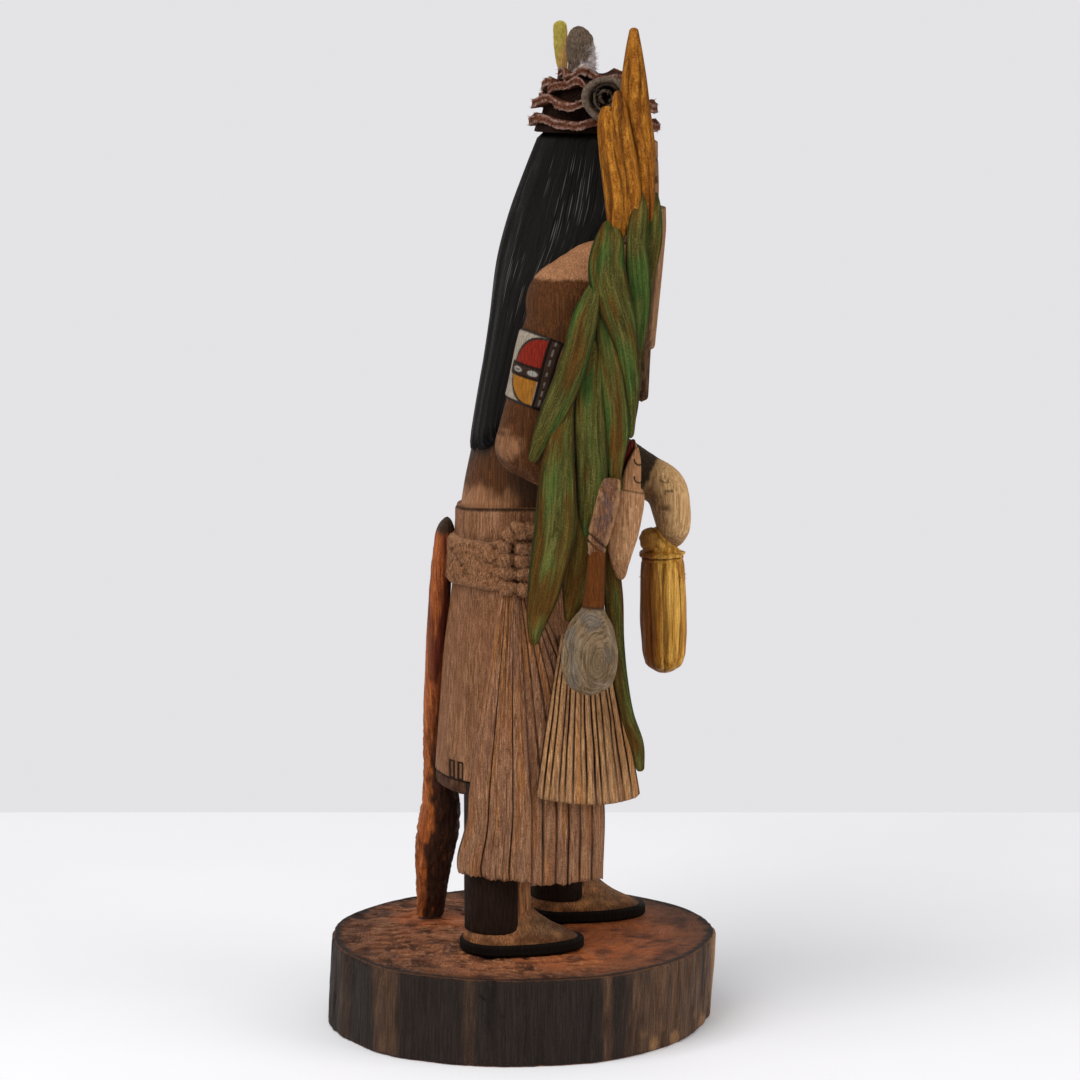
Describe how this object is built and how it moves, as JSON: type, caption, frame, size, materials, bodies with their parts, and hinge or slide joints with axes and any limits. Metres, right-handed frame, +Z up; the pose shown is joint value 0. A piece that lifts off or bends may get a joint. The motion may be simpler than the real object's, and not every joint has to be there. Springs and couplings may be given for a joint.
{
  "type": "kachina doll",
  "caption": "Carved wooden long-haired kachina doll standing on a log slice, with corn stalk, gourd rattle, flat doll and tied pouch.",
  "frame": {"origin": "middle of the underside of the log base", "axes": "+Z up, the doll faces -Y, its right hand is on the -X side and its back is on the +Y side"},
  "size_m": [0.1072, 0.1142, 0.2884],
  "materials": {
    "log": "stained log slice, dark rough edge",
    "carved_wood": "carved, thinly stained and painted",
    "pelt_wood": "carved, orange-brown stain, burnt dark inside",
    "leaf_wood": "carved, green stain, ochre tassel",
    "gourd_wood": "carved, grey wash",
    "doll_wood": "carved, pale wood with black and red paint",
    "ochre_wood": "carved, yellow ochre stain",
    "wreath_hide": "thin ruffled hide with pale rough edges",
    "blossom_hide": "rolled grey-brown hide",
    "down": "downy feather, grey with white edge",
    "green_vane": "dyed green-yellow feather"
  },
  "bodies": {
    "root": {"base": "log", "figure": "carved_wood", "fox_pelt": "pelt_wood", "corn_stalk": "leaf_wood", "gourd_rattle": "gourd_wood", "flat_doll": "doll_wood", "yellow_pouch": "ochre_wood", "headdress_wreath": "wreath_hide", "squash_blossom": "blossom_hide", "down_feather": "down", "green_feather": "green_vane"}
  },
  "joints": []
}
